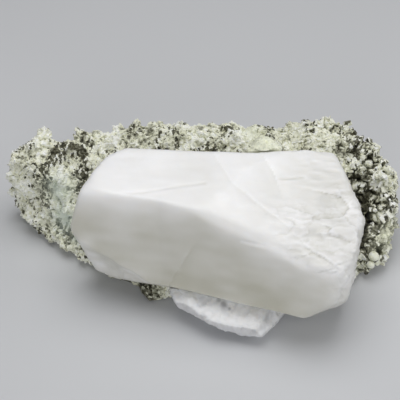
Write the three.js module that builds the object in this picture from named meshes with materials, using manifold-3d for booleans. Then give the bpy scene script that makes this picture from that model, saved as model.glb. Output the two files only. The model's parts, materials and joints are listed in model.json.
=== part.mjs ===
// A large milky quartz crystal lying across a loose piece of its matrix rock, in millimetres with +Z up.
// +X runs to the right along the crystal, +Y runs to the back, and the flat base lies at z = 0.

import * as THREE from 'three';
import { mergeVertices } from 'three/addons/utils/BufferGeometryUtils.js';
import Module from 'manifold-3d';

const wasm = await Module();
wasm.setup();

// Driving dimensions of the specimen
const joinGap = 0.3;
const crystalCentre = [8, -13, 31];
const lowerCentre = [16, -48, 10];
const roughBlockSize = 400;

// The rock's upper face climbs from the front to the back
const rockHeightAtMiddle = 27;
const rockClimb = 0.8;
const rockTopHeight = 46;
const rockRimHeight = 3;
const rockInset = 1.5;
const rockRoughness = 1.5;
const bed = { x: 4, y: -12, radiusX: 58, radiusY: 34, edgeHeight: 7, rise: 18 };

// Small crystals of the rock: blocks that narrow and slant towards the free end and lean away from upright
const druse = {
  count: 168,
  seed: 11,
  triesEach: 14,
  width: [4.5, 8.5],
  thickness: [3, 5],
  length: [6, 9],
  sunk: 0.6,
  narrowing: [0.62, 0.92],
  slant: 0.35,
  lean: 1.7,
  uprightShare: 0.6,
  leastUpright: 0.2,
  lowestPlace: 2.5,
  steepestUnderside: -0.75,
  clearOfMain: 1,
  clearOfLower: 5,
};

// A lump of pale mineral fills the corner between the rock and the back of the large crystal
const paleLump = { top: [28, 1.5, 57.5], foot: [32, 16, 40], radii: [10, 8.5, 8.2], roughness: 0.12 };

// Faces of the quartz: the compass bearing of the outward direction in degrees from +X towards +Y, its slope
// above the horizon in degrees, and the distance in mm from the centre of the crystal.
const prismFaces = {
  top: [-95, 84, 30],
  topBack: [87, 27, 24],
  back: [93, -9, 28],
  under: [90, -78, 16],
  underLeft: [-101, -38, 33.5],
  frontLeft: [-100, 19, 28.5],
  lowerLeft: [-116, -14, 40.5],
  tipTop: [119, 15, 38.3],
  tipFront: [-137, 26.5, 57.8],
  tipBack: [144, 1, 45.1],
  tipUnder: [-150, -19, 57.4],
  breakTop: [-62, 75, 30.8],
  insideRight: [0, 0, 32],
};
const blockFaces = {
  top: [-95, 84, 30],
  breakTop: [-62, 75, 31],
  front: [-108, 18, 31],
  underFront: [-107, -48, 32],
  under: [90, -78, 16],
  back: [93, -9, 28],
  topBack: [97, 25, 20.5],
  breakRim: [3, 45, 57.9],
  end: [19.5, -4, 53.3],
  endMiddle: [-14.5, -4, 64.2],
  endFront: [-50, 14, 65.8],
  endCorner: [-62, -32, 57],
  endBack: [58, 26, 49],
  insideLeft: [180, 0, 27],
};
const lowerFaces = {
  top: [-97, 68, 6.2],
  topLeft: [-138, 50, 14.4],
  rim: [-103, 2, 10.9],
  rimLeft: [-122, 10, 13],
  rimRight: [-42, 28, 13.7],
  left: [-165, -20, 23.5],
  underRim: [-103, -46, 9.9],
  underLeft: [-124, -40, 10.6],
  underRight: [-38, -30, 16.4],
  right: [-12, 8, 34],
  back: [90, 10, 26],
  under: [0, -90, 10],
};

// The lower right of the front face stands out by a thin layer of later growth
const growthFaces = {
  ...blockFaces,
  front: [-108, 20, 31],
  leftEdge: [180, 25, 15],
};

// Shallow shell-shaped breaks: a place on the face, the radius of the hollow and its depth
const mainBreaks = [
  { face: blockFaces.breakTop, at: [26, -19, 59], radius: 13, depth: 0.9 },
  { face: blockFaces.breakTop, at: [57, -3, 59], radius: 10, depth: 1.2 },
  { face: blockFaces.breakTop, at: [58, -26, 53], radius: 7.5, depth: 1.3 },
  { face: blockFaces.breakTop, at: [46, -47, 50], radius: 11, depth: 1.5 },
  { face: blockFaces.breakTop, at: [32, -43, 53], radius: 8, depth: 0.8 },
  { face: blockFaces.breakTop, at: [58, -49, 47], radius: 8, depth: 1.4 },
  { face: blockFaces.endMiddle, at: [68, -36, 34], radius: 8, depth: 1 },
  { face: blockFaces.endFront, at: [60, -50, 22], radius: 8, depth: 1.2 },
  { face: prismFaces.lowerLeft, at: [-42, -33, 24], radius: 8, depth: 1 },
  { face: prismFaces.lowerLeft, at: [-30, -38, 20], radius: 6, depth: 0.8 },
];
const breakSegments = 9;
const breakTurn = 1;
const lowerBreaks = [
  { face: lowerFaces.top, at: [1, -52, 15], radius: 7, depth: 0.8 },
  { face: lowerFaces.top, at: [14, -56, 13], radius: 8, depth: 0.9 },
  { face: lowerFaces.rimRight, at: [31, -56, 10], radius: 5, depth: 0.7 },
];

// A rough ridge of crystal ends crosses the broken top
const ridge = {
  from: [31, -37.5],
  to: [65, -38],
  count: 10,
  spread: 2,
  length: [5, 8],
  breadth: 0.6,
  proud: [0.8, 1.6],
  roll: 0.5,
  pitch: 0.3,
  turn: 1,
};

// Outline of the rock, counter-clockwise from the left end: x, y and the height of its rim there
const rockOutline = [
  [-92, 20, 34], [-91, 16, 28], [-86, 12.5, 19], [-82, 12, 12], [-83, 8, 7], [-73, 0.5, 6], [-65, -6, 6],
  [-56, -13, 5], [-46, -18.5, 4], [-36.5, -25, 3], [-29, -31, 3], [-22, -36, 3], [-12, -36, 4],
  [4, -36, 5], [40, -38, 6], [58, -33, 5], [71, -24, 4], [83, -17, 9], [90, -13, 14], [92, 1, 23],
  [92.5, 13, 33], [88, 23.5, 38], [80, 27, 44], [74, 33, 47], [66, 36.5, 46.5], [44, 36.5, 45],
  [28, 37, 45], [0, 35, 50], [-18, 36, 47], [-37, 35.5, 45], [-43, 31, 45], [-57.5, 31, 48],
  [-60.5, 24, 40], [-64.5, 22.5, 39], [-70, 26, 43], [-76, 29.5, 43], [-82, 26.5, 42], [-89, 25, 40],
];

// Colour and finish of the materials
const stoneMaterial = new THREE.MeshStandardMaterial({ color: 0x9c9f84, roughness: 0.7, metalness: 0 });
const quartzMaterial = new THREE.MeshStandardMaterial({ color: 0xe9eae6, roughness: 0.35, metalness: 0 });
const icyMaterial = new THREE.MeshStandardMaterial({ color: 0xe4e9ee, roughness: 0.45, metalness: 0 });

// Shapes to solids and back
function solidOf(geometry) {
  const bare = new THREE.BufferGeometry();
  bare.setAttribute('position', geometry.getAttribute('position').clone());
  if (geometry.index) {
    bare.setIndex(geometry.index.clone());
  }
  const merged = mergeVertices(bare, 1e-4);
  const vertProperties = new Float32Array(merged.getAttribute('position').array);
  const triVerts = new Uint32Array(merged.index.array);
  return new wasm.Manifold(new wasm.Mesh({ numProp: 3, vertProperties, triVerts }));
}

function geometryOf(solid) {
  const mesh = solid.getMesh();
  const geometry = new THREE.BufferGeometry();
  geometry.setAttribute('position', new THREE.BufferAttribute(new Float32Array(mesh.vertProperties), 3));
  geometry.setIndex(new THREE.BufferAttribute(new Uint32Array(mesh.triVerts), 1));
  return geometry;
}

function named(name, solid, material) {
  const mesh = new THREE.Mesh(geometryOf(solid), material);
  mesh.name = name;
  return mesh;
}

// The largest of the bodies that a cut has left
function largestBody(solid) {
  return solid.decompose().reduce((best, piece) => (piece.volume() > best.volume() ? piece : best));
}

// Even numbers from 0 to 1 that are the same in every run
function seededRandom(seed) {
  let state = seed;
  return () => {
    state = (state + 0x6d2b79f5) | 0;
    let t = Math.imul(state ^ (state >>> 15), 1 | state);
    t = (t + Math.imul(t ^ (t >>> 7), 61 | t)) ^ t;
    return ((t ^ (t >>> 14)) >>> 0) / 4294967296;
  };
}

function bearing(azimuth, elevation) {
  const turn = THREE.MathUtils.degToRad(azimuth);
  const slope = THREE.MathUtils.degToRad(elevation);
  return new THREE.Vector3(
    Math.cos(slope) * Math.cos(turn),
    Math.cos(slope) * Math.sin(turn),
    Math.sin(slope),
  );
}

// A crystal is a rough block cut back to each of its flat faces
function crystalSolid(faces, centre, grown = 0) {
  const middle = new THREE.Vector3(...centre);
  let solid = solidOf(new THREE.BoxGeometry(roughBlockSize, roughBlockSize, roughBlockSize));
  for (const [azimuth, elevation, distance] of Object.values(faces)) {
    const outward = bearing(azimuth, elevation);
    const offset = outward.dot(middle) + distance + grown;
    solid = solid.trimByPlane([-outward.x, -outward.y, -outward.z], -offset);
  }
  return solid;
}

// The two parallel crystals and the late growth, before they were broken
function wholeCrystalSolid(grown = 0) {
  return crystalSolid(prismFaces, crystalCentre, grown)
    .add(crystalSolid(blockFaces, crystalCentre, grown))
    .add(crystalSolid(growthFaces, crystalCentre, grown));
}

// A shell-shaped break is cut by a large ball that dips into the face
function breakCutter({ face, at, radius, depth }, centre) {
  const [azimuth, elevation, distance] = face;
  const outward = bearing(azimuth, elevation);
  const middle = new THREE.Vector3(...centre);
  const place = new THREE.Vector3(...at);
  place.addScaledVector(outward, distance - outward.dot(place.clone().sub(middle)));
  const ballRadius = (radius ** 2 + depth ** 2) / (2 * depth);
  const around = Math.round((breakSegments * ballRadius) / radius);
  const ball = new THREE.SphereGeometry(ballRadius, around, Math.round(around / 2));
  ball.rotateX(breakTurn + at[0]);
  place.addScaledVector(outward, ballRadius - depth);
  ball.translate(place.x, place.y, place.z);
  return solidOf(ball);
}

function ridgeSolids() {
  const random = seededRandom(ridge.count);
  const [azimuth, elevation, distance] = blockFaces.breakTop;
  const outward = bearing(azimuth, elevation);
  const middle = new THREE.Vector3(...crystalCentre);
  const solids = [];
  for (let i = 0; i < ridge.count; i += 1) {
    const share = (i + 0.5) / ridge.count;
    const length = THREE.MathUtils.lerp(...ridge.length, random());
    const proud = THREE.MathUtils.lerp(...ridge.proud, random());
    const end = new THREE.BoxGeometry(length, ridge.breadth * length, 2 * proud);
    end.rotateX(ridge.roll * (random() - 0.5));
    end.rotateY(ridge.pitch * (random() - 0.5));
    end.rotateZ(ridge.turn * (random() - 0.5));
    end.applyQuaternion(new THREE.Quaternion().setFromUnitVectors(new THREE.Vector3(0, 0, 1), outward));
    const place = new THREE.Vector3(
      THREE.MathUtils.lerp(ridge.from[0], ridge.to[0], share),
      THREE.MathUtils.lerp(ridge.from[1], ridge.to[1], share) + ridge.spread * (random() - 0.5),
      crystalCentre[2],
    );
    place.z += (distance - outward.dot(place.clone().sub(middle))) / outward.z;
    end.translate(place.x, place.y, place.z);
    solids.push(solidOf(end));
  }
  return solids;
}

function mainCrystalSolid() {
  const cutters = mainBreaks.map((shell) => breakCutter(shell, crystalCentre));
  const broken = wholeCrystalSolid().subtract(wasm.Manifold.union(cutters));
  return largestBody(wasm.Manifold.union([broken, ...ridgeSolids()]));
}

function lowerCrystalSolid() {
  const cutters = lowerBreaks.map((shell) => breakCutter(shell, lowerCentre));
  const broken = crystalSolid(lowerFaces, lowerCentre).subtract(wasm.Manifold.union(cutters));
  return largestBody(broken.subtract(wholeCrystalSolid(joinGap)));
}

// The rock before its small crystals: rings of points from the base up its side and across its upper face
const stepsAround = 64;
const belowBase = -2;

function rockRim() {
  const points = rockOutline.map(([x, y, rim]) => new THREE.Vector3(x, y, rim));
  const curve = new THREE.CatmullRomCurve3(points, true, 'centripetal');
  return curve.getSpacedPoints(stepsAround).slice(0, stepsAround);
}

function rockHeight(x, y) {
  const slope = rockHeightAtMiddle + rockClimb * y;
  const away = ((x - bed.x) / bed.radiusX) ** 2 + ((y - bed.y) / bed.radiusY) ** 2;
  const mound = away < 1 ? bed.edgeHeight + bed.rise * (1 - away) : 0;
  return Math.max(Math.min(slope, rockTopHeight), mound, rockRimHeight);
}

// Side rings hold a share of the rim's height, and the inner rings climb from the rim to the upper face
const sideRings = [
  { inset: 6, height: () => belowBase },
  { inset: 2.5, height: (rim) => 0.3 * rim },
  { inset: 0, height: (rim) => 0.72 * rim },
  { inset: 1, height: (rim) => rim },
];
const upperRings = [
  { inset: 5, climb: 8 },
  { inset: 11, climb: 16 },
  { inset: 18, climb: 30 },
  { share: 0.5, climb: 60 },
  { share: 0.2, climb: 60 },
];

function rockGeometry() {
  const random = seededRandom(druse.seed + 1);
  const rough = () => rockRoughness * (2 * random() - 1);
  const positions = [];
  const rim = rockRim();
  for (const ring of [...sideRings, ...upperRings]) {
    for (const edge of rim) {
      const reach = Math.hypot(edge.x, edge.y);
      const share = ring.share ?? (reach - ring.inset - rockInset) / reach;
      const x = edge.x * share;
      const y = edge.y * share;
      const z = ring.height ? ring.height(edge.z) : Math.min(rockHeight(x, y), edge.z + ring.climb);
      const still = z < 0;
      positions.push(x + (still ? 0 : rough()), y + (still ? 0 : rough()), z + (still ? 0 : rough()));
    }
  }
  const lowest = positions.length / 3;
  positions.push(0, 0, belowBase, 0, 0, rockHeight(0, 0));
  const ringCount = sideRings.length + upperRings.length;
  const index = [];
  for (let ring = 0; ring + 1 < ringCount; ring += 1) {
    for (let step = 0; step < stepsAround; step += 1) {
      const a = ring * stepsAround + step;
      const b = ring * stepsAround + ((step + 1) % stepsAround);
      index.push(a, b, b + stepsAround, a, b + stepsAround, a + stepsAround);
    }
  }
  const last = (ringCount - 1) * stepsAround;
  for (let step = 0; step < stepsAround; step += 1) {
    const next = (step + 1) % stepsAround;
    index.push(lowest, next, step, lowest + 1, last + step, last + next);
  }
  const geometry = new THREE.BufferGeometry();
  geometry.setAttribute('position', new THREE.BufferAttribute(new Float32Array(positions), 3));
  geometry.setIndex(index);
  return geometry;
}

function paleLumpSolid() {
  const random = seededRandom(druse.seed + 2);
  const balls = [paleLump.top, paleLump.foot].map((centre) => {
    const ball = new THREE.IcosahedronGeometry(1, 1);
    ball.deleteAttribute('normal');
    ball.deleteAttribute('uv');
    const geometry = mergeVertices(ball);
    const position = geometry.getAttribute('position');
    for (let i = 0; i < position.count; i += 1) {
      const reach = 1 - paleLump.roughness * random();
      position.setXYZ(i, position.getX(i) * reach, position.getY(i) * reach, position.getZ(i) * reach);
    }
    geometry.scale(...paleLump.radii);
    geometry.translate(...centre);
    return solidOf(geometry);
  });
  return wasm.Manifold.hull(balls);
}

// One small crystal: a block that tapers to its free end, standing along +Z
function smallCrystal(random) {
  const between = ([low, high]) => low + (high - low) * random();
  const width = between(druse.width);
  const thickness = between(druse.thickness);
  const length = between(druse.length);
  const geometry = new THREE.BoxGeometry(width, thickness, length);
  const position = geometry.getAttribute('position');
  const taper = between(druse.narrowing);
  const slant = druse.slant * (random() - 0.5);
  for (let i = 0; i < position.count; i += 1) {
    if (position.getZ(i) > 0) {
      position.setX(i, position.getX(i) * taper);
      position.setY(i, position.getY(i) * taper);
      position.setZ(i, position.getZ(i) + slant * position.getX(i));
    }
  }
  geometry.translate(0, 0, length * (0.5 - druse.sunk));
  return geometry;
}

// Places on the rock that no large crystal covers, spread as evenly as the tries allow
function druseSites(random, covers) {
  const geometry = rockGeometry();
  const position = geometry.getAttribute('position');
  const triangles = [];
  let area = 0;
  for (let i = 0; i < geometry.index.count; i += 3) {
    const corner = (k) => new THREE.Vector3().fromBufferAttribute(position, geometry.index.getX(i + k));
    const triangle = new THREE.Triangle(corner(0), corner(1), corner(2));
    area += triangle.getArea();
    triangles.push({ triangle, upTo: area });
  }
  const sites = [];
  while (sites.length < druse.count) {
    let best = null;
    for (let attempt = 0; attempt < druse.triesEach; attempt += 1) {
      const pick = random() * area;
      const { triangle } = triangles.find((entry) => entry.upTo >= pick);
      const u = Math.sqrt(random());
      const v = random();
      const place = triangle.a.clone().multiplyScalar(1 - u)
        .addScaledVector(triangle.b, u * (1 - v))
        .addScaledVector(triangle.c, u * v);
      const outward = triangle.getNormal(new THREE.Vector3());
      if (place.z < druse.lowestPlace || outward.z < druse.steepestUnderside || covers(place)) {
        continue;
      }
      const room = Math.min(...sites.map((site) => site.place.distanceTo(place)));
      if (!best || room > best.room) {
        best = { place, outward, room };
      }
    }
    if (best) {
      sites.push(best);
    }
  }
  return sites;
}

function insideFaces(faces, centre, place, grown) {
  const from = place.clone().sub(new THREE.Vector3(...centre));
  return Object.values(faces).every(([azimuth, elevation, distance]) => (
    bearing(azimuth, elevation).dot(from) < distance + grown
  ));
}

function rockSolid() {
  const random = seededRandom(druse.seed);
  const covers = (place) => insideFaces(prismFaces, crystalCentre, place, druse.clearOfMain)
    || insideFaces(blockFaces, crystalCentre, place, druse.clearOfMain)
    || insideFaces(lowerFaces, lowerCentre, place, druse.clearOfLower);
  const solids = [solidOf(rockGeometry()), paleLumpSolid()];
  const up = new THREE.Vector3(0, 0, 1);
  for (const { place, outward } of druseSites(random, covers)) {
    const lean = new THREE.Vector3(random() - 0.5, random() - 0.5, random() - 0.5);
    const along = outward.clone().addScaledVector(lean, druse.lean).normalize();
    if (along.dot(outward) < druse.leastUpright) {
      along.addScaledVector(outward, druse.uprightShare).normalize();
    }
    const geometry = smallCrystal(random);
    geometry.rotateZ(random() * Math.PI);
    geometry.applyQuaternion(new THREE.Quaternion().setFromUnitVectors(up, along));
    geometry.translate(place.x, place.y, place.z);
    solids.push(solidOf(geometry));
  }
  const rough = wasm.Manifold.union(solids).trimByPlane([0, 0, 1], 0);
  const seated = rough
    .subtract(wholeCrystalSolid(joinGap))
    .subtract(crystalSolid(lowerFaces, lowerCentre, joinGap));
  return largestBody(seated);
}

const specimen = new THREE.Group();
specimen.add(named('matrix', rockSolid(), stoneMaterial));
specimen.add(named('main_crystal', mainCrystalSolid(), quartzMaterial));
specimen.add(named('lower_crystal', lowerCrystalSolid(), icyMaterial));

export default specimen;
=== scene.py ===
"""The finished surfaces of a milky quartz crystal on its matrix rock, built around the fixed model."""

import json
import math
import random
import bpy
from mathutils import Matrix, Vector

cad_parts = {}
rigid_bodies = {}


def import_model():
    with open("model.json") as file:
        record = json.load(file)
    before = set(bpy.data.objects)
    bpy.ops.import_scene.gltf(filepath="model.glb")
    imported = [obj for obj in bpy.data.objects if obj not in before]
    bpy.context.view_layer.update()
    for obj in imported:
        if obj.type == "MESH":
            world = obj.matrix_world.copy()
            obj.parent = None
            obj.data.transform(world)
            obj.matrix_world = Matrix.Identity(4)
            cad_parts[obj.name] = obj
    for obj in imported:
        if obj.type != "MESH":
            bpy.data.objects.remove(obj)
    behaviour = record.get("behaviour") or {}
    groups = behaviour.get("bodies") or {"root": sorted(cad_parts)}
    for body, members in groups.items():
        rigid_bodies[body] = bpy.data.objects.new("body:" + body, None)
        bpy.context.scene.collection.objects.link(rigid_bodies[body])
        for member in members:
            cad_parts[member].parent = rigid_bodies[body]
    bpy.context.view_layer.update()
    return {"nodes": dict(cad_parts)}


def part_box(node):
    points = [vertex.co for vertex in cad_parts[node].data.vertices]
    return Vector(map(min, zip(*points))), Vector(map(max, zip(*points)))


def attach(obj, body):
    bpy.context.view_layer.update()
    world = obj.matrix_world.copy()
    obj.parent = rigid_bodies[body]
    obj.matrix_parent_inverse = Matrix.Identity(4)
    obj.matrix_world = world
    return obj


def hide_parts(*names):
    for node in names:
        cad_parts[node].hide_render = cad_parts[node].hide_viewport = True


bl_info = {
    "name": "Quartz Crystal on Matrix",
    "version": (1, 0, 0),
    "blender": (4, 5, 0),
    "location": "View3D > Sidebar > Quartz",
    "description": "Builds a milky quartz crystal lying on rough matrix rock",
    "category": "Add Mesh",
}

import bmesh
import bpy
import numpy as np
from bpy.props import FloatProperty, FloatVectorProperty, IntProperty, PointerProperty
from mathutils import Matrix, Vector
from mathutils.bvhtree import BVHTree

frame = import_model()

MM = 0.001
BODY = "root"


# Settings

class StageSettings(bpy.types.PropertyGroup):
    """Where the specimen is looked at from, and how it is lit."""

    camera_elevation: FloatProperty(
        name="Camera elevation", description="Height of the view above the horizon",
        default=math.radians(45), subtype="ANGLE")
    camera_distance: FloatProperty(
        name="Camera distance", description="From the lens to the middle of the specimen",
        default=0.56, unit="LENGTH")
    target_height: FloatProperty(
        name="Target height", description="Height of the point that the camera looks at",
        default=0.03, unit="LENGTH")
    lens: FloatProperty(
        name="Lens", description="Focal length in millimetres on a 36 mm sensor",
        default=110.04)
    overhead_power: FloatProperty(
        name="Overhead light", description="Power of the soft box above the specimen, in watts",
        default=2.5)
    fill_power: FloatProperty(
        name="Fill light", description="Power of the weak soft box in front, in watts",
        default=1.9)
    side_power: FloatProperty(
        name="Side light", description="Power of the soft box to the right, in watts",
        default=1.6)
    sky_strength: FloatProperty(
        name="Room light", description="Strength of the even light from all round",
        default=0.14)
    floor_size: FloatProperty(
        name="Floor size", description="Side of the square floor", default=6.0, unit="LENGTH")
    floor_colour: FloatVectorProperty(
        name="Floor colour", description="Colour of the pale floor",
        default=(0.62, 0.63, 0.65), subtype="COLOR")


class QuartzSettings(bpy.types.PropertyGroup):
    """Surface and colour of the two quartz crystals."""

    grain: FloatProperty(
        name="Mesh grain", description="Size of the faces of the finished crystal",
        default=0.68 * MM, unit="LENGTH")
    edge_rounds: IntProperty(
        name="Edge wear", description="How many times the edges are softened", default=3)
    swell: FloatProperty(
        name="Swell", description="Height of the broad waves of the natural faces",
        default=0.22 * MM, unit="LENGTH")
    chip_depth: FloatProperty(
        name="Chip depth", description="Relief of the broken end", default=1.1 * MM, unit="LENGTH")
    milk: FloatVectorProperty(
        name="Milk", description="Colour of the frosted quartz",
        default=(0.91, 0.908, 0.912), subtype="COLOR")
    # Partly the greyer quartz of the front face and partly painted shade, since the front faces away from
    # the overhead light
    smoke_and_shade: FloatVectorProperty(
        name="Smoke", description="Colour of the clearer, greyer quartz of the front face",
        default=(0.55, 0.54, 0.465), subtype="COLOR")
    ice: FloatVectorProperty(
        name="Ice", description="Colour of the freshly broken quartz of the lower crystal",
        default=(0.955, 0.96, 0.98), subtype="COLOR")
    light_depth: FloatProperty(
        name="Light depth", description="How far light spreads inside the quartz",
        default=7 * MM, unit="LENGTH")


class RockSettings(bpy.types.PropertyGroup):
    """Surface, colour and small crystals of the matrix rock."""

    grain: FloatProperty(
        name="Mesh grain", description="Size of the faces of the finished rock",
        default=0.75 * MM, unit="LENGTH")
    soften_rounds: IntProperty(
        name="Soften", description="How many times the lumps of the rock are softened",
        default=20)
    relief: FloatProperty(
        name="Relief", description="Height of the intergrown grains above their seams",
        default=1.0 * MM, unit="LENGTH")
    spacing: FloatProperty(
        name="Crystal spacing", description="Least distance between two free crystals",
        default=1.3 * MM, unit="LENGTH")
    crystal_size: FloatProperty(
        name="Crystal size", description="Usual length of a free crystal", default=1.9 * MM, unit="LENGTH")
    seed: IntProperty(name="Seed", description="Picks the places and turns of the crystals", default=4)
    pale: FloatVectorProperty(
        name="Pale grains", description="Colour of most grains",
        default=(0.765, 0.77, 0.61), subtype="COLOR")
    white: FloatVectorProperty(
        name="White grains", description="Colour of the freshest grains",
        default=(0.93, 0.94, 0.89), subtype="COLOR")
    yellow: FloatVectorProperty(
        name="Yellow-green lump", description="Colour of the pale lump behind the large crystal",
        default=(0.86, 0.88, 0.71), subtype="COLOR")
    olive: FloatVectorProperty(
        name="Olive blades", description="Colour of the darker blades",
        default=(0.105, 0.1, 0.058), subtype="COLOR")
    dark: FloatVectorProperty(
        name="Dark gaps", description="Colour deep between the grains",
        default=(0.02, 0.02, 0.016), subtype="COLOR")
    blue_green: FloatVectorProperty(
        name="Blue-green patch", description="Colour of the patch beside the tip of the large crystal",
        default=(0.57, 0.65, 0.57), subtype="COLOR")


# Meshes

def linked(name, mesh):
    piece = bpy.data.objects.new(name, mesh)
    bpy.context.scene.collection.objects.link(piece)
    return piece


def model_copy(node, name):
    """A copy of a model node with its loose triangles joined."""
    mesh = frame["nodes"][node].data.copy()
    mesh.materials.clear()
    shape = bmesh.new()
    shape.from_mesh(mesh)
    bmesh.ops.remove_doubles(shape, verts=shape.verts, dist=0.002 * MM)
    shape.to_mesh(mesh)
    shape.free()
    return linked(name, mesh)


def bake_modifiers(piece):
    """Turns the piece and its modifiers into a plain mesh."""
    graph = bpy.context.evaluated_depsgraph_get()
    mesh = bpy.data.meshes.new_from_object(piece.evaluated_get(graph), depsgraph=graph)
    piece.modifiers.clear()
    piece.data = mesh


def remesh(piece, grain):
    """Even, closed faces of one size all over."""
    modifier = piece.modifiers.new("Even faces", "REMESH")
    modifier.mode = "VOXEL"
    modifier.voxel_size = grain
    modifier.use_smooth_shade = True
    bake_modifiers(piece)


def read_points(mesh):
    flat = np.empty(len(mesh.vertices) * 3, np.float32)
    mesh.vertices.foreach_get("co", flat)
    return flat.reshape(-1, 3).astype(float)


def write_points(mesh, points):
    mesh.vertices.foreach_set("co", points.astype(np.float32).ravel())
    mesh.update()


def read_normals(mesh):
    flat = np.empty(len(mesh.vertices) * 3, np.float32)
    mesh.vertex_normals.foreach_get("vector", flat)
    return flat.reshape(-1, 3).astype(float)


def read_edges(mesh):
    flat = np.empty(len(mesh.edges) * 2, np.int32)
    mesh.edges.foreach_get("vertices", flat)
    return flat.reshape(-1, 2)


def softened(values, edges, rounds, strength=0.5):
    """Moves each value part of the way to the mean of its neighbours, several times."""
    count = len(values)
    ends = np.concatenate([edges[:, 0], edges[:, 1]])
    others = np.concatenate([edges[:, 1], edges[:, 0]])
    neighbours = np.maximum(np.bincount(ends, minlength=count), 1)
    columns = values.reshape(count, -1).copy()
    for _ in range(rounds):
        for k in range(columns.shape[1]):
            mean = np.bincount(ends, weights=columns[others, k], minlength=count) / neighbours
            columns[:, k] += strength * (mean - columns[:, k])
    return columns.reshape(values.shape)


def store(mesh, name, values):
    """Keeps one number for each point, for a material to read."""
    attribute = mesh.attributes.new(name, "FLOAT", "POINT")
    attribute.data.foreach_set("value", values.astype(np.float32))


# Patterns in space

def ramp(values, low, high):
    """0 below low, 1 above high, and a smooth climb between them."""
    share = np.clip((values - low) / (high - low), 0, 1)
    return share * share * (3 - 2 * share)


def draw_numbers(cells, seed):
    """The same number from 0 to 1 for the same whole-numbered cell."""
    mixed = cells[..., 0] * 73856093 ^ cells[..., 1] * 19349663 ^ cells[..., 2] * 83492791
    mixed = (mixed ^ (seed * 40503 + 12345)) & 0xFFFFFFFF
    mixed = ((mixed ^ (mixed >> 15)) * 2246822519) & 0xFFFFFFFF
    mixed = ((mixed ^ (mixed >> 13)) * 3266489917) & 0xFFFFFFFF
    return ((mixed ^ (mixed >> 16)) & 0xFFFFFF) / 0xFFFFFF


def cloud(points, size, seed):
    """Smooth random waves from -1 to 1, about as broad as size."""
    place = points / size
    cell = np.floor(place).astype(np.int64)
    share = place - cell
    share = share * share * (3 - 2 * share)
    total = np.zeros(len(points))
    for corner in np.ndindex(2, 2, 2):
        step = np.array(corner)
        weight = np.prod(np.where(step == 1, share, 1 - share), axis=1)
        total += weight * draw_numbers(cell + step, seed)
    return 2 * total - 1


def grains(points, size, seed):
    """Angular cells of about one size, each with its own tilt.

    Gives for each point the level of its cell's face, the number drawn for the cell, and the
    distance to the seam with the next cell.
    """
    place = points / size
    cell = np.floor(place).astype(np.int64)
    nearest = np.full(len(points), np.inf)
    second = nearest.copy()
    level = np.zeros(len(points))
    number = np.zeros(len(points))
    for corner in np.ndindex(3, 3, 3):
        other = cell + np.array(corner) - 1
        middle = other + np.stack([draw_numbers(other, seed + k) for k in range(3)], axis=1)
        tilt = np.stack([draw_numbers(other, seed + k) for k in range(3, 6)], axis=1) - 0.5
        away = place - middle
        distance = np.linalg.norm(away, axis=1)
        closer = distance < nearest
        second = np.where(closer, nearest, np.minimum(second, distance))
        nearest = np.where(closer, distance, nearest)
        height = 2 * (tilt * away).sum(axis=1) + draw_numbers(other, seed + 6) - 0.5
        level = np.where(closer, height, level)
        number = np.where(closer, draw_numbers(other, seed + 7), number)
    return level, number, (second - nearest) * size


def near(points, place, reach):
    """1 at a place given in millimetres, falling to 0 beyond its reach."""
    distance = np.linalg.norm(points - np.array(place) * MM, axis=1)
    return np.exp(-(distance / (reach * MM)) ** 2)


def line_distance(points, normals, path):
    """Distance of each point to a line on the surface, and on which side of the line it lies."""
    nearest = np.full(len(points), np.inf)
    side = np.zeros(len(points))
    for start, end in zip(path[:-1], path[1:]):
        start = np.array(start) * MM
        along = np.array(end) * MM - start
        share = np.clip((points - start) @ along / (along @ along), 0, 1)
        away = points - start - share[:, None] * along
        distance = np.linalg.norm(away, axis=1)
        closer = distance < nearest
        turn = (np.cross(along, away) * normals).sum(axis=1)
        side = np.where(closer, np.sign(turn), side)
        nearest = np.where(closer, distance, nearest)
    return nearest, side


# Lines on the large crystal: points, height and reach in millimetres. Grooves are shallow, and ledges
# stand up on one side and fade out.
GROOVES = {
    "top_crease": ([(-34, -26, 60), (-24, -25, 60), (-13, -22.5, 60.3), (2, -20, 60.4)], 0.22, 0.8),
    "crack": ([(34, -16, 59.3), (40, -15.6, 58.5), (45, -14.4, 58)], 0.4, 0.5),
    "rim_line": ([(-48, -29, 31), (-30, -38, 22), (-21, -41.5, 18)], 0.35, 0.8),
    "late_line": ([(17.7, -44.2, 49.5), (35, -49.4, 49.5)], 0.3, 0.6),
}
WHITE_LINES = (("late_line", 0.7), ("rim_line", 1))
LEDGES = {
    "fan_edge": (
        [(10, -11.7, 61.3), (14, -20, 60.5), (21.3, -25.5, 58.5), (27, -31, 57), (34, -37, 54)], 0.2, 6),
    "arc_edge": ([(29, -7.5, 61.5), (32, -13, 60.1), (33, -16.5, 59.4)], 0.2, 5),
    "shell_edge": ([(54, -21, 56), (61, -22, 55), (64, -27, 53), (61, -32, 52), (52, -34, 52.5)], 0.6, 5),
    "growth_edge": ([(-13.5, -43.6, 20), (-12, -43, 25), (-8, -41.6, 32), (-6, -41, 36)], 0.45, 5),
}

# Small bright spots on the top: place and reach in millimetres
TOP_SPOTS = (((8, -27.3, 59.4), 1.5), ((10.5, -27.5, 59.3), 1.5))

# The left edge of the later growth on the front face: its x at the foot and its lean, with x rising with z
LATE_GROWTH = {"foot": -22.6, "lean": 0.456}

# Paler patches low on the tip, painted light: place and reach in millimetres
PAINTED_TIP_LIGHT = (((-50, -31.5, 34), 4), ((-48, -31, 27), 4), ((-45, -30.5, 19), 4))

# The edge between the top and the front of the large crystal, and how far below it the painted light on the
# front fades out
FRONT_EDGE = [
    (-56, -20.5, 59.4), (-38, -25, 59.3), (0, -32.4, 59), (18.9, -42.1, 54.9), (40, -51.2, 50),
    (56, -58, 45.6)]
FRONT_FADE = 13

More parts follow.
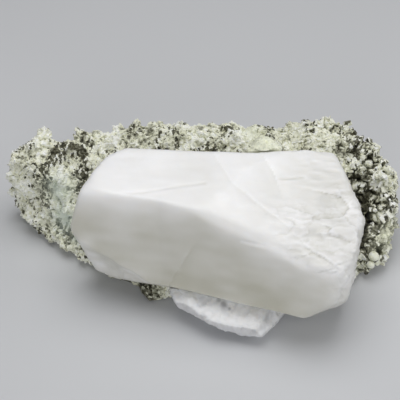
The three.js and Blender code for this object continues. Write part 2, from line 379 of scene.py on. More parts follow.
# Edges of the large crystal that are worn round, and how far the wear reaches in millimetres
WORN_EDGES = (
    ([(6, -36, 57.8), (18.9, -42.1, 54.9), (40, -51.2, 50), (56, -58, 45.6)], 6),
    ([(60.5, 1.1, 59.8), (66.4, -10.3, 56.4), (71.6, -29.2, 51.3), (68.6, -41.5, 48.7)], 2.5),
    ([(68.6, -41.5, 48.7), (65, -50, 47), (56, -57, 46)], 5),
    ([(56, -57, 46), (54, -61, 33), (50, -63, 26)], 5),
    ([(30, -37.5, 54.3), (48, -37.6, 52.2), (66, -38, 50.1)], 3),
    ([(57, 4, 60.2), (60.5, 1.1, 59.8), (62.5, -3, 58.8)], 5),
    ([(-50, -21.5, 60), (-52.5, -23.5, 58), (-54, -24.5, 54), (-55, -26, 50), (-55, -27, 46)], 6),
)
WEAR_ROUNDS = 160

# Where the large crystal is broken or streaked: each range leads from none to full, in millimetres or,
# for "up", in how far the surface faces upwards
BREAKS = {
    "top": {"x": (26, 44), "up": (0.3, 0.6), "front": (20, 36)},
    "end": {"x": (50, 62), "front": (8, 24)},
    "bevel": {"left": (24, 34), "below": (-27, -20)},
    "streaks": {"x": (36, 50), "up": (0.7, 0.9), "y": (-24, -14)},
}
BEVEL_SHARE = 0.6


def worn(points, edges):
    """The points with the worn edges rounded."""
    wear = np.zeros(len(points))
    for path, reach in WORN_EDGES:
        distance, _ = line_distance(points, np.zeros_like(points), path)
        wear = np.maximum(wear, np.exp(-(distance / (reach * MM)) ** 2))
    return softened(points, edges, WEAR_ROUNDS, 0.5 * wear)


def within(measures, ranges):
    """1 where every measure is past its range, and 0 where any falls short of it."""
    share = 1
    for name, (low, high) in ranges.items():
        share = share * ramp(measures[name], low, high)
    return share


def crystal_relief(points, normals, quartz):
    """How far each point of the large crystal stands out from its flat faces."""
    x, y, z = (points / MM).T
    measures = {"x": x, "y": y, "front": -y, "left": -x, "below": -z, "up": normals[:, 2]}
    shares = {name: within(measures, ranges) for name, ranges in BREAKS.items()}
    broken = np.clip(shares["top"] + shares["end"] + BEVEL_SHARE * shares["bevel"], 0, 1)
    stretched = points * np.array([0.35, 1, 1])
    relief = quartz.swell * cloud(points, 16 * MM, 21)
    relief += 0.35 * quartz.swell * cloud(stretched, 3 * MM, 22)
    long_chips = points * np.array([0.5, 1, 1])
    chips = 0.7 * grains(long_chips, 6 * MM, 31)[0] + 0.3 * grains(long_chips, 2.8 * MM, 41)[0]
    hackles = 0.45 * cloud(stretched, 2.4 * MM, 25) + 0.3 * cloud(stretched, 1.2 * MM, 23)
    relief += broken * quartz.chip_depth * (0.75 * chips + 0.6 * hackles)
    streaks = cloud(points * np.array([0.25, 1, 1]), 1.6 * MM, 26)
    relief += 0.3 * MM * shares["streaks"] * streaks
    for path, depth, width in GROOVES.values():
        distance, _ = line_distance(points, normals, path)
        relief -= depth * MM * np.exp(-(distance / (width * MM)) ** 2)
    shade = np.zeros(len(points))
    for path, height, reach in LEDGES.values():
        distance, side = line_distance(points, normals, path)
        step = ramp(side * distance, -0.4 * MM, 0.4 * MM) - 0.5
        relief += height * MM * step * np.exp(-distance / (reach * MM))
        # Painted shade: each ledge is coloured darker on its lower side and lighter on its higher side
        shade += step * np.exp(-distance / (2 * reach * MM))
    return relief, broken, shade


def crystal_frost_and_light(points, normals, edges, relief, broken, shade):
    """How white each point is: the top and the front just below it are painted lighter, the front lower
    down and the hollows painted darker, with real frosted and broken quartz and veils mixed in.
    """
    x, _, z = (points / MM).T
    # Painted light: faces turned upwards are coloured whiter, as the overhead light falls on them
    top = ramp(softened(normals[:, 2], edges, 10), 0.35, 0.8)
    # Painted light on the front: whitest just below the edge with the top, fading to the greyer colour
    # further down
    below, _ = line_distance(points, normals, FRONT_EDGE)
    fade = np.exp(-below / (FRONT_FADE * MM))
    hazy = 0.6 * cloud(points, 5 * MM, 27) + 0.4 * cloud(points, 1.8 * MM, 28)
    late_edge = LATE_GROWTH["foot"] + LATE_GROWTH["lean"] * z + 1.6 * cloud(points, 9 * MM, 35)
    before = 1 - ramp(x - late_edge, -0.5, 1)
    # Painted shade: hollows of the relief are coloured darker
    hollow_shade = np.clip((softened(relief, edges, 14) - relief) / MM, -0.35, 0.35)
    veins = points * np.array([0.25, 1, 1])
    veiled = 0.14 * cloud(points, 11 * MM, 33) + 0.1 * cloud(veins, 3 * MM, 34)
    frost = top * (0.94 - 0.22 * ramp(x, 15, 50) + 0.08 * cloud(points, 14 * MM, 29) + 0.1 * shade)
    frost += (0.95 * fade + 0.1 * before * (1 - ramp(z, 38, 48))) * (1 - top)
    frost += 0.45 * patch(points, PAINTED_TIP_LIGHT) + 0.3 * patch(points, TOP_SPOTS)
    frost += (1 - top) * (1 - broken) * veiled
    for line, width in WHITE_LINES:
        distance, _ = line_distance(points, normals, GROOVES[line][0])
        frost += 0.35 * np.exp(-(distance / (width * MM)) ** 2)
    frost += (0.35 * (1 - top) + 0.2 * hazy) * broken - (0.25 + 0.65 * top) * hollow_shade
    return np.clip(frost, 0, 1)


# Materials

LARGE_ROUGHNESS = 0.36
LOWER_ROUGHNESS = 0.42
ROCK_ROUGHNESS = 0.7
FREE_CRYSTAL_ROUGHNESS = 0.45
QUARTZ_IOR = 1.54
LIGHT_INSIDE = {"whole": 0.75, "broken": 0.3}

# The two sets of dark blades in the rock: their turn, how many fit in a metre, and how jagged they are
BLADES = (((0.5, 0.9, 0.2), 600), ((1.3, -0.6, 1.1), 900))
BLADE_JAGS = 2.6 * MM


def add_node(tree, kind, inputs=None, **settings):
    """A node with its settings, and with each named input set or linked."""
    node = tree.nodes.new(kind)
    for key, value in settings.items():
        setattr(node, key, value)
    for key, value in (inputs or {}).items():
        if isinstance(value, bpy.types.NodeSocket):
            tree.links.new(value, node.inputs[key])
        else:
            node.inputs[key].default_value = value
    return node


def new_material(name):
    """An empty material and its shader."""
    material = bpy.data.materials.new(name)
    material.use_nodes = True
    tree = material.node_tree
    shader = tree.nodes["Principled BSDF"]
    return material, tree, shader


def colour_steps(tree, value, steps):
    """A colour ramp through (position, colour) steps."""
    node = add_node(tree, "ShaderNodeValToRGB", {"Fac": value})
    elements = node.color_ramp.elements
    while len(elements) > 1:
        elements.remove(elements[-1])
    for index, (position, colour) in enumerate(steps):
        element = elements[0] if index == 0 else elements.new(position)
        element.position = position
        element.color = (*colour, 1)
    return node.outputs["Color"]


def noise(tree, where, scale, detail=3.0, roughness=0.5):
    return add_node(
        tree, "ShaderNodeTexNoise",
        {"Vector": where, "Scale": scale, "Detail": detail, "Roughness": roughness}).outputs["Fac"]


def read_attribute(tree, name):
    return add_node(tree, "ShaderNodeAttribute", attribute_name=name).outputs["Fac"]


def socket_of(sockets, identifier):
    """The socket with this identifier, since several can share a name."""
    return next(socket for socket in sockets if socket.identifier == identifier)


def blend_colours(tree, share, first, second):
    node = add_node(tree, "ShaderNodeMix", data_type="RGBA")
    for identifier, value in (("Factor_Float", share), ("A_Color", first), ("B_Color", second)):
        socket = socket_of(node.inputs, identifier)
        if isinstance(value, bpy.types.NodeSocket):
            tree.links.new(value, socket)
        else:
            socket.default_value = value
    return socket_of(node.outputs, "Result_Color")


def spread(tree, value, low, high, reach=(0.3, 0.7)):
    """A value carried from its usual reach to the range from low to high."""
    inputs = {"Value": value, "From Min": reach[0], "From Max": reach[1], "To Min": low, "To Max": high}
    return add_node(tree, "ShaderNodeMapRange", inputs).outputs["Result"]


def maths(tree, operation, first, second, **settings):
    node = add_node(tree, "ShaderNodeMath", {0: first, 1: second}, operation=operation, **settings)
    return node.outputs[0]


def add_bump(tree, shader, height, strength, distance):
    bump = add_node(tree, "ShaderNodeBump", {"Height": height, "Strength": strength, "Distance": distance})
    tree.links.new(bump.outputs["Normal"], shader.inputs["Normal"])


def milky_quartz(name, clear, frosted, light_depth, roughness):
    """Translucent white quartz: greyer where it is clear and where shade is painted, whiter where it is
    frosted or broken and where light is painted.
    """
    material, tree, shader = new_material(name)
    where = add_node(tree, "ShaderNodeTexCoord").outputs["Object"]
    veils = spread(tree, noise(tree, where, 45, 4), -0.12, 0.12)
    share = maths(tree, "ADD", read_attribute(tree, "frost"), veils, use_clamp=True)
    colour = colour_steps(tree, share, [(0.0, clear), (1.0, frosted)])
    tree.links.new(colour, shader.inputs["Base Color"])
    shader.inputs["IOR"].default_value = QUARTZ_IOR
    broken = read_attribute(tree, "broken")
    inside = spread(tree, broken, LIGHT_INSIDE["whole"], LIGHT_INSIDE["broken"], (0, 1))
    tree.links.new(inside, shader.inputs["Subsurface Weight"])
    shader.inputs["Subsurface Radius"].default_value = (1.0, 0.95, 0.88)
    shader.inputs["Subsurface Scale"].default_value = light_depth
    gloss = spread(tree, noise(tree, where, 260, 3), roughness - 0.08, roughness + 0.14)
    tree.links.new(gloss, shader.inputs["Roughness"])
    stretched = add_node(tree, "ShaderNodeMapping", {"Vector": where, "Scale": (0.3, 1.0, 1.0)})
    add_bump(tree, shader, noise(tree, stretched.outputs["Vector"], 900, 2), 0.2, 0.1 * MM)
    return material


def cell_numbers(tree, where, scale, stretch, turn):
    """One random number for each angular cell of a stretched, turned pattern."""
    placed = add_node(tree, "ShaderNodeMapping", {"Vector": where, "Rotation": turn, "Scale": stretch})
    cells = add_node(tree, "ShaderNodeTexVoronoi", {"Vector": placed.outputs["Vector"], "Scale": scale})
    return add_node(tree, "ShaderNodeSeparateColor", {"Color": cells.outputs["Color"]}).outputs["Red"]


def rock_material(name, rock, gloss):
    """Pale granular crust with crisp olive blades and dark gaps, by the numbers that each point carries,
    painted shade among them.
    """
    material, tree, shader = new_material(name)
    where = add_node(tree, "ShaderNodeTexCoord").outputs["Object"]
    speckle = spread(tree, noise(tree, where, 800, 3, 0.6), -0.12, 0.12)
    facets = spread(tree, cell_numbers(tree, where, 620, (1, 1, 1), (0, 0, 0)), -0.18, 0.16, (0, 1))
    tone = maths(tree, "ADD", read_attribute(tree, "tone"), speckle)
    tone = maths(tree, "ADD", tone, facets, use_clamp=True)
    bladed = read_attribute(tree, "bladed")
    blade_tone = spread(tree, noise(tree, where, 700, 2), 0.0, 0.36)
    waves = add_node(tree, "ShaderNodeTexNoise", {"Vector": where, "Scale": 420.0, "Detail": 2.0})
    jagged = add_node(
        tree, "ShaderNodeVectorMath", {0: waves.outputs["Color"], 1: (BLADE_JAGS,) * 3, 2: where},
        operation="MULTIPLY_ADD").outputs["Vector"]
    for turn, scale in BLADES:
        number = cell_numbers(tree, jagged, scale, (1, 1, 0.35), turn)
        blade = maths(tree, "LESS_THAN", number, bladed)
        cut = add_node(tree, "ShaderNodeMix", {0: blade, 2: tone, 3: blade_tone}, data_type="FLOAT")
        tone = cut.outputs[0]
    grey = [0.45 * c for c in rock.pale]
    steps = [(0.0, rock.dark), (0.2, rock.olive), (0.4, grey), (0.6, rock.pale), (1.0, rock.white)]
    colour = colour_steps(tree, tone, steps)
    for attribute, tint in (("tint", rock.blue_green), ("yellow", rock.yellow)):
        colour = blend_colours(tree, read_attribute(tree, attribute), colour, (*tint, 1))
    tree.links.new(colour, shader.inputs["Base Color"])
    shader.inputs["Roughness"].default_value = gloss
    shader.inputs["Subsurface Weight"].default_value = 0.25
    shader.inputs["Subsurface Radius"].default_value = (1.0, 0.95, 0.8)
    shader.inputs["Subsurface Scale"].default_value = 0.8 * MM
    add_bump(tree, shader, noise(tree, where, 1400, 3), 0.6, 0.25 * MM)
    return material


def floor_material(colour):
    material, tree, shader = new_material("Pale floor")
    shader.inputs["Base Color"].default_value = (*colour, 1)
    shader.inputs["Roughness"].default_value = 0.8
    return material


# Free crystals of the rock

def prism_shape(name, sides, width, thickness, length, cap, rng):
    """A flat-sided crystal with a bevelled end, standing along +Z and mostly sunk below its foot."""
    shape = bmesh.new()
    rings = []
    sunk = 0.72 * length
    for height, share in ((-sunk, 0.8), (length - sunk - cap, 1.0), (length - sunk, 0.55)):
        ring = []
        for k in range(sides):
            turn = 2 * math.pi * (k + 0.5) / sides
            wobble = 1.3 + 0.2 * (rng.random() - 0.5)
            ring.append(shape.verts.new((
                0.5 * width * share * wobble * math.cos(turn),
                0.5 * thickness * share * wobble * math.sin(turn),
                height + 0.1 * (rng.random() - 0.5))))
        rings.append(ring)
    for lower, upper in zip(rings[:-1], rings[1:]):
        for k in range(sides):
            following = (k + 1) % sides
            shape.faces.new((lower[k], lower[following], upper[following], upper[k]))
    shape.faces.new(rings[-1])
    shape.faces.new(rings[0][::-1])
    mesh = bpy.data.meshes.new(name)
    shape.to_mesh(mesh)
    shape.free()
    return bpy.data.objects.new(name, mesh)


def crystal_shapes():
    """The few shapes that the free crystals repeat, about one unit long."""
    rng = random.Random(5)
    collection = bpy.data.collections.new("Free crystal shapes")
    for index in range(3):
        collection.objects.link(prism_shape(f"blade_{index}", 4, 1.0, 0.28, 1.2, 0.1, rng))
        collection.objects.link(prism_shape(f"flake_{index}", 5, 0.9, 0.3, 0.9, 0.14, rng))
        collection.objects.link(prism_shape(f"block_{index}", 4, 0.7, 0.5, 0.9, 0.14, rng))
    return collection


def scatter_tree():
    """Geometry nodes that plant crystals on a surface, each turned and sized at random."""
    tree = bpy.data.node_groups.new("Plant crystals", "GeometryNodeTree")
    sockets = tree.interface
    sockets.new_socket("Geometry", in_out="INPUT", socket_type="NodeSocketGeometry")
    for name, kind in (
            ("Spacing", "NodeSocketFloat"), ("Size", "NodeSocketFloat"), ("Seed", "NodeSocketInt"),
            ("Shapes", "NodeSocketCollection"), ("Material", "NodeSocketMaterial")):
        sockets.new_socket(name, in_out="INPUT", socket_type=kind)
    sockets.new_socket("Geometry", in_out="OUTPUT", socket_type="NodeSocketGeometry")
    given = tree.nodes.new("NodeGroupInput").outputs

    def drawn(kind, low, high, shift):
        """A number or vector drawn afresh for each crystal."""
        node = add_node(tree, "FunctionNodeRandomValue", data_type=kind)
        tree.links.new(maths(tree, "ADD", given["Seed"], float(shift)), node.inputs["Seed"])
        suffix = {"FLOAT": "_001", "FLOAT_VECTOR": ""}[kind]
        socket_of(node.inputs, "Min" + suffix).default_value = low
        socket_of(node.inputs, "Max" + suffix).default_value = high
        return socket_of(node.outputs, "Value" + suffix)

    def carried(name):
        """A number that the surface carries."""
        node = add_node(tree, "GeometryNodeInputNamedAttribute", {"Name": name}, data_type="FLOAT")
        return node.outputs["Attribute"]

    points = add_node(
        tree, "GeometryNodeDistributePointsOnFaces",
        {"Mesh": given["Geometry"], "Distance Min": given["Spacing"], "Density Max": 900000.0,
         "Density Factor": carried("plenty"), "Seed": given["Seed"]},
        distribute_method="POISSON")
    lean = add_node(
        tree, "FunctionNodeRotateRotation",
        {"Rotation": points.outputs["Rotation"],
         "Rotate By": drawn("FLOAT_VECTOR", (-1.5, -1.5, -math.pi), (1.5, 1.5, math.pi), 1)},
        rotation_space="LOCAL").outputs["Rotation"]
    scale = add_node(
        tree, "ShaderNodeVectorMath", {0: drawn("FLOAT_VECTOR", (0.5, 0.5, 0.5), (1.15, 1.15, 1.2), 2)},
        operation="SCALE")
    length = maths(tree, "MULTIPLY", given["Size"], carried("coarse"))
    tree.links.new(length, scale.inputs["Scale"])
    shapes = add_node(
        tree, "GeometryNodeCollectionInfo", {"Collection": given["Shapes"], "Separate Children": True,
                                             "Reset Children": True})
    planted = add_node(
        tree, "GeometryNodeInstanceOnPoints",
        {"Points": points.outputs["Points"], "Instance": shapes.outputs["Instances"], "Pick Instance": True,
         "Rotation": lean, "Scale": scale.outputs["Vector"]})
    tone = maths(tree, "ADD", carried("crystal_tone"), drawn("FLOAT", -0.2, 0.22, 3))
    toned = add_node(
        tree, "GeometryNodeStoreNamedAttribute",
        {"Geometry": planted.outputs["Instances"], "Name": "tone", "Value": tone},
        data_type="FLOAT", domain="INSTANCE")
    real = add_node(tree, "GeometryNodeRealizeInstances", {"Geometry": toned.outputs["Geometry"]})
    painted = add_node(
        tree, "GeometryNodeSetMaterial",
        {"Geometry": real.outputs["Geometry"], "Material": given["Material"]})
    tree.links.new(painted.outputs["Geometry"], tree.nodes.new("NodeGroupOutput").inputs["Geometry"])
    return tree


def set_inputs(modifier, **values):
    """Sets a modifier's inputs, found by name, through their identifiers."""
    for item in modifier.node_group.interface.items_tree:
        if item.item_type == "SOCKET" and item.in_out == "INPUT" and item.name in values:
            modifier[item.identifier] = values[item.name]


def bare_surface(rock_piece, crystals, low, high):
    """The rock's open faces between two x values: not on the base, and not against a quartz crystal."""
    mesh = rock_piece.data
    shape = bmesh.new()
    shape.from_mesh(mesh)
    clear = 0.9 * MM
    lowest = 1.6 * MM
    dropped = []
    for face in shape.faces:
        middle = face.calc_center_median()
        open_face = low <= middle.x < high and middle.z > lowest
        if open_face:
            open_face = all(tree.find_nearest(middle, clear)[0] is None for tree in crystals)
        if not open_face:
            dropped.append(face)
    bmesh.ops.delete(shape, geom=dropped, context="FACES")
    surface = bpy.data.meshes.new("open rock")
    shape.to_mesh(surface)
    shape.free()
    return surface


# Darker marks on the lower crystal, and patches of the rock: place and reach in millimetres
LOWER_MARKS = (((8.3, -48.6, 16), 0.9), ((10.5, -50, 15.5), 1.3), ((13, -51.8, 14.5), 0.8))
BLUE_GREEN = (((-63, 0, 18), 7), ((-65, 7.5, 29), 6.5), ((-59, -9, 14.6), 5))
# The last place, below the front of the large crystal, is painted shadow: more dark blades where the
# crystal shades the rock
BROWN_AND_SHADOW = (
    ((-65, 17, 42.5), 7), ((-60, 23, 46.5), 5), ((-53, 20, 44), 4), ((-74, 12, 36), 4),
    ((-69, 10, 35), 3.5), ((-77, 10, 17), 4), ((-63, -3, 11), 5), ((-10, 25, 45.5), 5),
    ((-40, 21, 42), 3.5), ((7, 24, 45), 4), ((-32, 28, 48), 3.5), ((-25, -32, 2.5), 9))
PALE = (
    ((-34.8, 30.2, 50.3), 5), ((-74, 25, 45), 6), ((-40.7, 24, 45.3), 4.5), ((20, 27, 46), 7),
    ((0, 28, 47), 6), ((85, 11, 36), 5), ((70, 15, 41), 4), ((83, -4, 24), 5), ((58, 30, 47), 8),
    ((45, 30, 46), 7), ((-86, 17, 34), 7), ((-84, 14, 24), 6))
YELLOW = (((28, 2, 62), 10), ((30, 12, 55), 8), ((86, -12, 16), 6), ((24, 28, 47), 5))
# Painted shadow: the rock below the front of the large crystal is coloured darker, where the crystal shades
# it
PAINTED_ROCK_SHADOW = (((-25, -32, 2.5), 10), ((-36, -26, 3), 6))
GAPS = (
    ((73, 9, 35), 5), ((77, 3, 30), 5), ((77, -7, 21.5), 6), ((74, 0, 27), 5.5), ((73.5, -14, 15.5), 5.5),
    ((84, -17, 13.5), 4.5), ((70, 17, 45), 4.5), ((81, 16, 41), 4), ((64, 17.5, 46), 3.5))


def patch(points, places):
    """1 in the middle of any of the places, falling to 0 beyond their reaches."""
    return np.max([near(points, place, reach) for place, reach in places], axis=0)


def rock_surface(points, normals, edges, rock):
    """How far each point of the rock stands out, and what it carries for colour and crystals."""
    x, y, z = (points / MM).T
    coarse_end = ramp(x, 62, 72)
    brown_and_shadow, pale, gaps = patch(points, BROWN_AND_SHADOW), patch(points, PALE), patch(points, GAPS)
    tint, yellow = patch(points, BLUE_GREEN), patch(points, YELLOW)
    lumps = cloud(points, 9 * MM, 81)
    bumps = 0.6 * cloud(points, 4 * MM, 86) + 0.4 * cloud(points, 1.9 * MM, 87)
    big_level, big_number, big_seam = grains(points, 5 * MM, 91)
    small_level, small_number, small_seam = grains(points, 2.4 * MM, 101)
    shut = np.clip(1 - 0.7 * tint - 0.8 * yellow, 0, 1)
    open_seam = np.clip(ramp(cloud(points, 6 * MM, 88), 0.15, 0.5) + 0.5 * coarse_end + gaps, 0, 1)
    seam = (1 - ramp(big_seam, 0.1 * MM, (0.9 + 0.9 * gaps) * MM)) * open_seam * shut
    small = (1 - ramp(small_seam, 0.05 * MM, 0.5 * MM)) * shut
    strength = (1 + 0.5 * coarse_end) * (0.5 + 0.5 * shut)
    relief = 0.8 * lumps + 0.7 * bumps + 0.9 * big_level + 0.6 * small_level
    relief += 0.22 * cloud(points, 0.9 * MM, 89) * shut
    relief -= (0.9 + 1.2 * gaps) * seam + 0.2 * small + 1.2 * gaps
    relief = relief * strength * rock.relief * ramp(z, 0.4, 4)
    hollow_shade = softened(relief, edges, 12) - relief
    tone = 0.66 + 0.24 * (small_number - 0.5) + 0.16 * (big_number - 0.5) + 0.2 * cloud(points, 8 * MM, 85)
    # Painted shade: hollows of the relief, and the rock below the front of the large crystal, are coloured
    # darker
    tone += 0.22 * pale - 0.34 * np.clip(hollow_shade / MM, -0.4, 1.2) - 0.3 * patch(points, PAINTED_ROCK_SHADOW)
    # The free crystals take this tone, painted shade included
    bare = tone
    tone = tone - 0.15 * seam - 0.05 * small - 0.75 * gaps * ramp(cloud(points, 3 * MM, 90), -0.35, 0)
    bladed = 0.06 + 0.3 * cloud(points, 6 * MM, 84) + 0.18 * brown_and_shadow + 0.2 * gaps - 0.3 * pale - 0.15 * tint
    bladed += 0.12 * coarse_end - 0.3 * yellow
    carried = {
        "tone": np.clip(tone, 0, 1),
        "crystal_tone": np.clip(bare + 0.05 * gaps, 0, 1),
        "tint": 0.75 * tint,
        "yellow": 0.8 * yellow,
        "bladed": np.clip(bladed, 0, 0.45),
        "plenty": np.clip((0.6 - 0.5 * seam - 0.55 * gaps) * shut * (1 - ramp(x, 87, 90)), 0, 1),
        "coarse": 1 + 0.9 * coarse_end,
    }
    return relief - 0.3 * MM, carried


# Rounded ends that stand out of the rock: place and radius in millimetres, and how tall for their breadth
STUBS = (((79.6, -18, 11.5), 2.4, 0.9), ((78.4, -20, 8.2), 1.8, 1.1))


# The free crystals are planted in four pieces, from left to right
DRUSE_PARTS = ("left", "middle_left", "middle_right", "right")


# Soft boxes: where each hangs, what it faces and the side of its square, in metres, and its power setting
LIGHTS = (
    ("overhead", (0.0, 0.06, 0.62), (0, 0, 0), 0.5, "overhead_power"),
    ("front fill", (-0.2, -0.8, 0.3), (0, 0, 0.03), 0.5, "fill_power"),
    ("right side", (0.75, -0.1, 0.32), (0.05, 0, 0.03), 0.4, "side_power"),
)


# Operators

def shade_smooth(mesh, smooth):
    mesh.polygons.foreach_set("use_smooth", [smooth] * len(mesh.polygons))


def finish_piece(piece, slot, *nodes):
    """Hangs the piece on the specimen's body and hides the model parts that it replaces."""
    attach(piece, BODY)
    if nodes:
        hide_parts(*nodes)


class QUARTZ_OT_stage(bpy.types.Operator):
    """Adds the floor, the soft lights and the camera"""

    bl_idname = "quartz.stage"
    bl_label = "Stage"

    def execute(self, context):
        stage = context.scene.quartz_stage
        half = stage.floor_size / 2
        mesh = bpy.data.meshes.new("floor")
        corners = [(-half, -half, 0), (half, -half, 0), (half, half, 0), (-half, half, 0)]
        mesh.from_pydata(corners, [], [(0, 1, 2, 3)])
        mesh.materials.append(floor_material(stage.floor_colour))
        linked("floor", mesh)

        for name, place, target, size, power in LIGHTS:
            self.add_light(name, place, target, size, getattr(stage, power))
        world = bpy.data.worlds.new("room")
        world.use_nodes = True
        world.node_tree.nodes["Background"].inputs["Color"].default_value = (1, 1, 1, 1)
        world.node_tree.nodes["Background"].inputs["Strength"].default_value = stage.sky_strength
        context.scene.world = world
        context.scene.view_settings.view_transform = "Standard"

        target = Vector((0, 0, stage.target_height))
        away = Vector((0, -math.cos(stage.camera_elevation), math.sin(stage.camera_elevation)))
        data = bpy.data.cameras.new("camera")
        data.sensor_width = 36
        data.lens = stage.lens
        camera = bpy.data.objects.new("camera", data)
        camera.location = target + stage.camera_distance * away
        camera.rotation_euler = (-away).to_track_quat("-Z", "Y").to_euler()
        context.scene.collection.objects.link(camera)
        context.scene.camera = camera
        return {"FINISHED"}

    @staticmethod
    def add_light(name, place, target, size, power):
        data = bpy.data.lights.new(name, "AREA")
        data.shape = "SQUARE"
        data.size = size
        data.energy = power
        lamp = bpy.data.objects.new(name, data)
        lamp.location = place
        lamp.rotation_euler = (Vector(target) - Vector(place)).to_track_quat("-Z", "Y").to_euler()
        bpy.context.scene.collection.objects.link(lamp)


class QUARTZ_OT_main_crystal(bpy.types.Operator):
    """Builds the large milky crystal with its worn edges and broken end"""

    bl_idname = "quartz.main_crystal"
    bl_label = "Large crystal"

    def execute(self, context):
        quartz = context.scene.quartz_crystals
        piece = model_copy("main_crystal", "large_quartz")
        remesh(piece, quartz.grain)
        mesh = piece.data
        edges = read_edges(mesh)
        points = worn(softened(read_points(mesh), edges, quartz.edge_rounds), edges)
        write_points(mesh, points)
        normals = read_normals(mesh)
        relief, broken, shade = crystal_relief(points, normals, quartz)
        write_points(mesh, points + relief[:, None] * normals)
        broken = softened(broken, edges, 6)
        store(mesh, "frost", crystal_frost_and_light(points, normals, edges, relief, broken, shade))
        store(mesh, "broken", broken)
        mesh.materials.append(milky_quartz(
            "Milky quartz", quartz.smoke_and_shade, quartz.milk, quartz.light_depth, LARGE_ROUGHNESS))
        shade_smooth(mesh, True)
        finish_piece(piece, "milky_quartz", "main_crystal")
        return {"FINISHED"}


class QUARTZ_OT_lower_crystal(bpy.types.Operator):
    """Builds the smaller broken crystal below the front of the large one"""

    bl_idname = "quartz.lower_crystal"
    bl_label = "Lower crystal"

    def execute(self, context):
        quartz = context.scene.quartz_crystals
        piece = model_copy("lower_crystal", "lower_quartz")
        remesh(piece, 0.75 * quartz.grain)
        mesh = piece.data
        edges = read_edges(mesh)
        points = softened(read_points(mesh), edges, 4)
        write_points(mesh, points)
        normals = read_normals(mesh)
        chips = 0.6 * grains(points, 5 * MM, 51)[0] + 0.4 * grains(points, 2 * MM, 61)[0]
        relief = 0.9 * MM * (chips + 0.15 * cloud(points, 0.9 * MM, 24))
        relief *= ramp(points[:, 2] / MM, 0.3, 2.5)
        moved = points + relief[:, None] * normals
        moved[:, 2] = np.maximum(moved[:, 2], 0)
        write_points(mesh, moved)
        # Painted light and shade: faces turned upwards are coloured whiter, and faces turned aside or down
        # greyer
        upward = softened(normals[:, 2], edges, 8)
        hazy = 0.95 + 0.25 * cloud(points, 5 * MM, 71) + 0.2 * cloud(points, 1.6 * MM, 72)
        mark = patch(points, LOWER_MARKS)
        store(mesh, "frost", np.clip(hazy * (0.35 + 0.65 * ramp(upward, 0.1, 0.6)) - 0.9 * mark, 0, 1))
        # Painted shade: a half-bright copy of the ice colour for the faces turned away from the light
        grey = [0.5 * c for c in quartz.ice]
        mesh.materials.append(milky_quartz(
            "Broken quartz", grey, quartz.ice, 0.7 * quartz.light_depth, LOWER_ROUGHNESS))
        shade_smooth(mesh, True)
        finish_piece(piece, "broken_quartz", "lower_crystal")
        return {"FINISHED"}


class QUARTZ_OT_rock(bpy.types.Operator):
    """Builds the matrix rock below its small crystals"""

    bl_idname = "quartz.rock"
    bl_label = "Rock"

    def execute(self, context):
        rock = context.scene.quartz_rock
        piece = model_copy("matrix", "rock")
        remesh(piece, rock.grain)
        mesh = piece.data
        edges = read_edges(mesh)
        points = softened(read_points(mesh), edges, rock.soften_rounds)
        write_points(mesh, points)
        relief, carried = rock_surface(points, read_normals(mesh), edges, rock)
        moved = points + relief[:, None] * read_normals(mesh)
        moved[:, 2] = np.maximum(moved[:, 2], 0)
        write_points(mesh, moved)
        for name, values in carried.items():
            store(mesh, name, values)
        mesh.materials.append(rock_material("Rock crust", rock, ROCK_ROUGHNESS))
        shade_smooth(mesh, False)
        finish_piece(piece, "matrix_rock", "matrix")
        return {"FINISHED"}


class QUARTZ_OT_druse(bpy.types.Operator):
    """Plants the small crystals on the open surface of the rock"""

    bl_idname = "quartz.druse"
    bl_label = "Small crystals"

    def execute(self, context):
        rock = context.scene.quartz_rock
        rock_piece = bpy.data.objects["rock"]
        crystals = []
        for name in ("large_quartz", "lower_quartz"):
            mesh = bpy.data.objects[name].data
            crystals.append(BVHTree.FromPolygons(
                [v.co for v in mesh.vertices], [tuple(p.vertices) for p in mesh.polygons]))
        material = rock_material("Free crystals", rock, FREE_CRYSTAL_ROUGHNESS)
        shapes = crystal_shapes()
        tree = scatter_tree()
        low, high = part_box("matrix")
        cuts = np.linspace(low[0] - MM, high[0] + MM, len(DRUSE_PARTS) + 1)
        for index, name in enumerate(DRUSE_PARTS):
            surface = bare_surface(rock_piece, crystals, cuts[index], cuts[index + 1])
            piece = linked(f"small_crystals_{name}", surface)
            modifier = piece.modifiers.new("Small crystals", "NODES")
            modifier.node_group = tree
            set_inputs(
                modifier, Spacing=rock.spacing, Size=rock.crystal_size, Seed=rock.seed + 10 * index,
                Shapes=shapes, Material=material)
            piece.update_tag()
            bake_modifiers(piece)
            points = read_points(piece.data)
            points[:, 2] = np.maximum(points[:, 2], 0)
            write_points(piece.data, points)
            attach(piece, BODY)
        for shape in list(shapes.objects):
            bpy.data.objects.remove(shape)
        bpy.data.collections.remove(shapes)
        return {"FINISHED"}


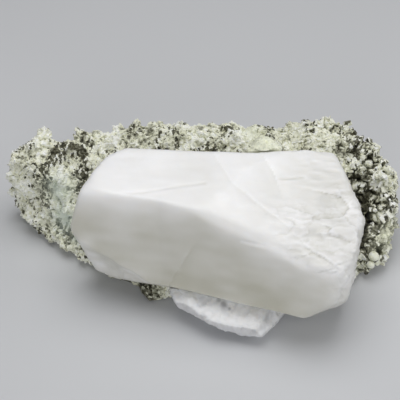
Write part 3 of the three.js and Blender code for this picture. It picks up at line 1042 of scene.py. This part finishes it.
class QUARTZ_OT_stubs(bpy.types.Operator):
    """Adds the few rounded crystal ends at the lower right of the rock"""

    bl_idname = "quartz.stubs"
    bl_label = "Rounded ends"

    def execute(self, context):
        shape = bmesh.new()
        for place, radius, tall in STUBS:
            turn = Matrix.Translation(Vector(place) * MM) @ Matrix.Diagonal((1, 1, tall, 1))
            bmesh.ops.create_icosphere(shape, subdivisions=4, radius=radius * MM, matrix=turn)
        mesh = bpy.data.meshes.new("rounded_ends")
        shape.to_mesh(mesh)
        shape.free()
        points = read_points(mesh)
        relief = 0.35 * cloud(points, 2.2 * MM, 121) + 0.12 * cloud(points, 0.9 * MM, 122)
        write_points(mesh, points + relief[:, None] * MM * read_normals(mesh))
        none = np.zeros(len(points))
        store(mesh, "tone", 0.8 + 0.15 * cloud(points, 2 * MM, 123))
        store(mesh, "yellow", none + 0.3)
        store(mesh, "tint", none)
        store(mesh, "bladed", none)
        mesh.materials.append(bpy.data.materials["Free crystals"])
        shade_smooth(mesh, True)
        finish_piece(linked("rounded_ends", mesh), "matrix_rock")
        return {"FINISHED"}


class QUARTZ_PT_panel(bpy.types.Panel):
    """Lists the steps and the settings"""

    bl_idname = "QUARTZ_PT_panel"
    bl_label = "Quartz on matrix"
    bl_space_type = "VIEW_3D"
    bl_region_type = "UI"
    bl_category = "Quartz"

    def draw(self, context):
        layout = self.layout
        for operator in STEPS:
            layout.operator(operator.bl_idname)
        for group in ("quartz_stage", "quartz_crystals", "quartz_rock"):
            settings = getattr(context.scene, group)
            box = layout.box()
            for key in settings.__annotations__:
                box.prop(settings, key)


STEPS = (
    QUARTZ_OT_stage, QUARTZ_OT_main_crystal, QUARTZ_OT_lower_crystal, QUARTZ_OT_rock, QUARTZ_OT_druse,
    QUARTZ_OT_stubs)
GROUPS = {"quartz_stage": StageSettings, "quartz_crystals": QuartzSettings, "quartz_rock": RockSettings}


def register():
    for group in GROUPS.values():
        bpy.utils.register_class(group)
    for key, group in GROUPS.items():
        setattr(bpy.types.Scene, key, PointerProperty(type=group))
    for item in (*STEPS, QUARTZ_PT_panel):
        bpy.utils.register_class(item)


def unregister():
    for item in (QUARTZ_PT_panel, *reversed(STEPS)):
        bpy.utils.unregister_class(item)
    for key, group in GROUPS.items():
        delattr(bpy.types.Scene, key)
        bpy.utils.unregister_class(group)


def main():
    register()
    bpy.ops.quartz.stage()
    bpy.ops.quartz.main_crystal()
    bpy.ops.quartz.lower_crystal()
    bpy.ops.quartz.rock()
    bpy.ops.quartz.druse()
    bpy.ops.quartz.stubs()


if __name__ == "__main__":
    main()
